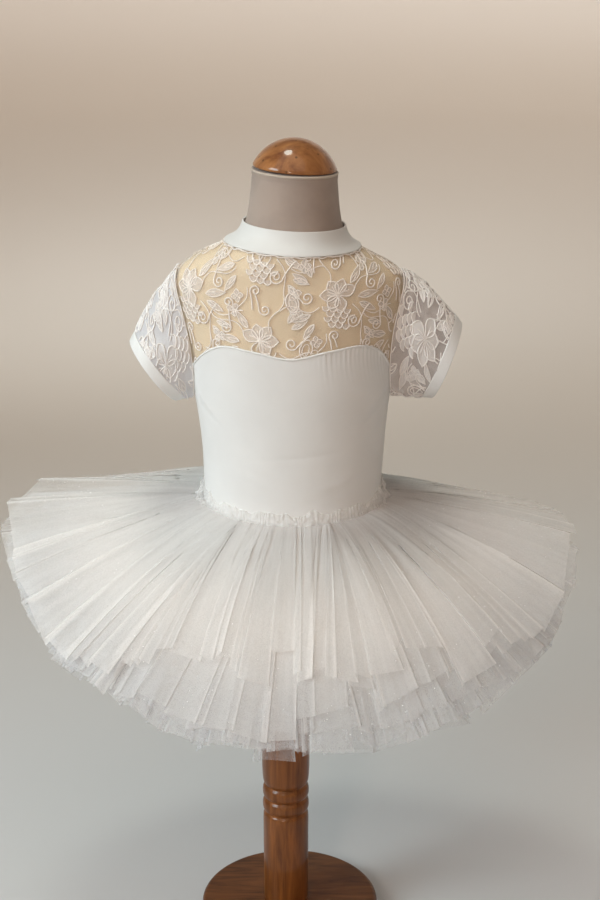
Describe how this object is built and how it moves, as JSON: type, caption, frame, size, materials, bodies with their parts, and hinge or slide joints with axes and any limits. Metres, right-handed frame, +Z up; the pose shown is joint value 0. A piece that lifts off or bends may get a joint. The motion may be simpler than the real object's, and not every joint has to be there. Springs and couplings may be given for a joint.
{
  "type": "ballet tutu on a limbless dress form with stand",
  "caption": "Child's ballet tutu with lace yoke, cap sleeves and a layered tulle skirt, worn on a limbless dress form on a turned wooden stand.",
  "frame": {"origin": "centre of the stand's underside, at floor level", "axes": "+Z up, X across the shoulders, the wearer faces -Y"},
  "size_m": [0.5854, 0.5062, 0.8523],
  "materials": {
    "jersey": "matt stretch jersey, white",
    "lace": "corded floral lace on a fine net, white",
    "tulle": "sheer soft tulle with a fine glitter, white",
    "linen": "matt linen cover, beige",
    "cap_wood": "glossy varnish over orange-brown wood",
    "post_wood": "glossy varnish over orange-brown wood",
    "base_wood": "satin varnish over dark walnut-brown wood"
  },
  "bodies": {
    "root": {"base": "base_wood", "post": "post_wood", "form_torso": "linen", "neck_cap": "cap_wood", "bodice_front": "jersey", "bodice_back": "jersey", "yoke_front": "lace", "yoke_back": "lace", "collar": "jersey", "sleeve_left": "lace", "sleeve_right": "lace", "cuff_left": "jersey", "cuff_right": "jersey", "waist_frill": "tulle", "hip_yoke": "jersey", "tulle_layer_1_front": "tulle", "tulle_layer_1_back": "tulle", "tulle_layer_2_front": "tulle", "tulle_layer_2_back": "tulle", "tulle_layer_3_front": "tulle", "tulle_layer_3_back": "tulle", "tulle_layer_4_front": "tulle", "tulle_layer_4_back": "tulle", "tulle_layer_5_front": "tulle", "tulle_layer_5_back": "tulle", "tulle_layer_6_front": "tulle", "tulle_layer_6_back": "tulle"}
  },
  "joints": []
}
